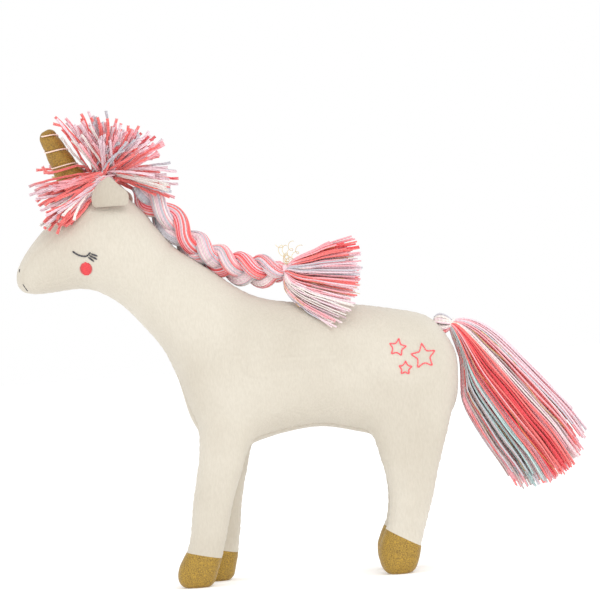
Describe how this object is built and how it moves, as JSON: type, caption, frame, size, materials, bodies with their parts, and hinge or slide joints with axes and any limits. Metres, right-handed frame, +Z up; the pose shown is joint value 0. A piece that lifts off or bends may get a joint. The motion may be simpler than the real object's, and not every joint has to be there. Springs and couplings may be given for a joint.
{
  "type": "plush unicorn",
  "caption": "Stuffed cotton unicorn toy that stands on its hooves, with flexing legs, nodding head, stuffed gold horn, braided yarn mane, pompom forelock and yarn tail.",
  "frame": {"origin": "on the ground under the middle of the toy, at the centre of its bounding box", "axes": "+X from the nose to the tail, +Y to the right-hand side of the animal, +Z up; the hooves stand on Z = 0"},
  "size_m": [0.4185, 0.089, 0.3598],
  "materials": {
    "body_cloth": "matt cream cotton with a fine plain weave",
    "ear_cloth": "matt cream cotton",
    "gold_cloth": "gold metallic woven cloth with a fine glitter",
    "filling": "white polyester fibre",
    "yarn": "soft plied yarn in coral, pink, white, mint and gold",
    "tie_thread": "wound yarn",
    "star_thread": "coral embroidery thread",
    "cheek_thread": "coral satin stitch",
    "face_thread": "dark grey embroidery thread",
    "horn_thread": "pale pink thread"
  },
  "bodies": {
    "torso": {"torso_stuffing": "filling", "side_panel_left": "body_cloth", "side_panel_right": "body_cloth", "belly_gusset": "body_cloth", "stars_left": "star_thread", "stars_right": "star_thread", "braid_strand_a": "yarn", "braid_strand_b": "yarn", "braid_strand_c": "yarn"},
    "head": {"head_stuffing": "filling", "head_panel_left": "body_cloth", "head_panel_right": "body_cloth", "head_gusset": "body_cloth", "eye_left": "face_thread", "eye_right": "face_thread", "cheek_left": "cheek_thread", "cheek_right": "cheek_thread", "nostril_stitches": "face_thread", "mouth_stitches": "face_thread", "forelock_yarn": "yarn", "forelock_tie": "tie_thread", "braid_root": "yarn"},
    "ear_left": {"ear_left_outer": "ear_cloth", "ear_left_lining": "ear_cloth"},
    "ear_right": {"ear_right_outer": "ear_cloth", "ear_right_lining": "ear_cloth"},
    "horn": {"horn_cover": "gold_cloth", "horn_stuffing": "filling", "horn_thread": "horn_thread"},
    "front_left_leg": {"front_left_leg_outer": "body_cloth", "front_left_leg_inner": "body_cloth", "front_left_leg_stuffing": "filling", "front_left_hoof": "gold_cloth"},
    "front_right_leg": {"front_right_leg_outer": "body_cloth", "front_right_leg_inner": "body_cloth", "front_right_leg_stuffing": "filling", "front_right_hoof": "gold_cloth"},
    "hind_left_leg": {"hind_left_leg_outer": "body_cloth", "hind_left_leg_inner": "body_cloth", "hind_left_leg_stuffing": "filling", "hind_left_hoof": "gold_cloth"},
    "hind_right_leg": {"hind_right_leg_outer": "body_cloth", "hind_right_leg_inner": "body_cloth", "hind_right_leg_stuffing": "filling", "hind_right_hoof": "gold_cloth"},
    "mane_end": {"braid_end": "yarn"},
    "mane_tassel": {"mane_tie": "tie_thread", "mane_tassel": "yarn"},
    "tail_knot": {"tail_knot": "tie_thread"},
    "tail": {"tail_tie": "tie_thread", "tail_tassel": "yarn"}
  },
  "joints": [
    {"name": "head_nod", "type": "hinge", "parent": "torso", "child": "head", "pos_m": [-0.127, 0, 0.247], "axis": [0, 1, 0], "range_deg": [-8, 8], "stiffness_Nm_per_rad": 1.5},
    {"name": "ear_left_fold", "type": "hinge", "parent": "head", "child": "ear_left", "pos_m": [-0.134, -0.0273, 0.2906], "axis": [1, 0, 0], "range_deg": [-15, 35], "stiffness_Nm_per_rad": 0.02},
    {"name": "ear_right_fold", "type": "hinge", "parent": "head", "child": "ear_right", "pos_m": [-0.134, 0.0273, 0.2906], "axis": [-1, 0, 0], "range_deg": [-15, 35], "stiffness_Nm_per_rad": 0.02},
    {"name": "horn_tilt", "type": "hinge", "parent": "head", "child": "horn", "pos_m": [-0.1585, 0, 0.2995], "axis": [0, 1, 0], "range_deg": [-8, 8], "stiffness_Nm_per_rad": 0.3},
    {"name": "front_left_leg_swing", "type": "hinge", "parent": "torso", "child": "front_left_leg", "pos_m": [-0.0615, 0, 0.111], "axis": [0, 1, 0], "range_deg": [-10, 10], "stiffness_Nm_per_rad": 1.2},
    {"name": "front_right_leg_swing", "type": "hinge", "parent": "torso", "child": "front_right_leg", "pos_m": [-0.0615, 0, 0.111], "axis": [0, 1, 0], "range_deg": [-10, 10], "stiffness_Nm_per_rad": 1.2},
    {"name": "hind_left_leg_swing", "type": "hinge", "parent": "torso", "child": "hind_left_leg", "pos_m": [0.0795, 0, 0.119], "axis": [0, 1, 0], "range_deg": [-10, 10], "stiffness_Nm_per_rad": 1.2},
    {"name": "hind_right_leg_swing", "type": "hinge", "parent": "torso", "child": "hind_right_leg", "pos_m": [0.0795, 0, 0.119], "axis": [0, 1, 0], "range_deg": [-10, 10], "stiffness_Nm_per_rad": 1.2},
    {"name": "mane_lift", "type": "hinge", "parent": "torso", "child": "mane_end", "pos_m": [-0.05, 0, 0.2435], "axis": [0, -1, 0], "range_deg": [0, 35]},
    {"name": "mane_swing", "type": "hinge", "parent": "mane_end", "child": "mane_tassel", "pos_m": [-0.0122, -0.004, 0.233], "axis": [0, 0, 1], "range_deg": [-20, 5]},
    {"name": "tail_swing", "type": "hinge", "parent": "torso", "child": "tail_knot", "pos_m": [0.1093, 0, 0.1894], "axis": [0, 0, 1], "range_deg": [-30, 30]},
    {"name": "tail_lift", "type": "hinge", "parent": "tail_knot", "child": "tail", "pos_m": [0.1093, 0, 0.1894], "axis": [0, -1, 0], "range_deg": [0, 60]}
  ]
}
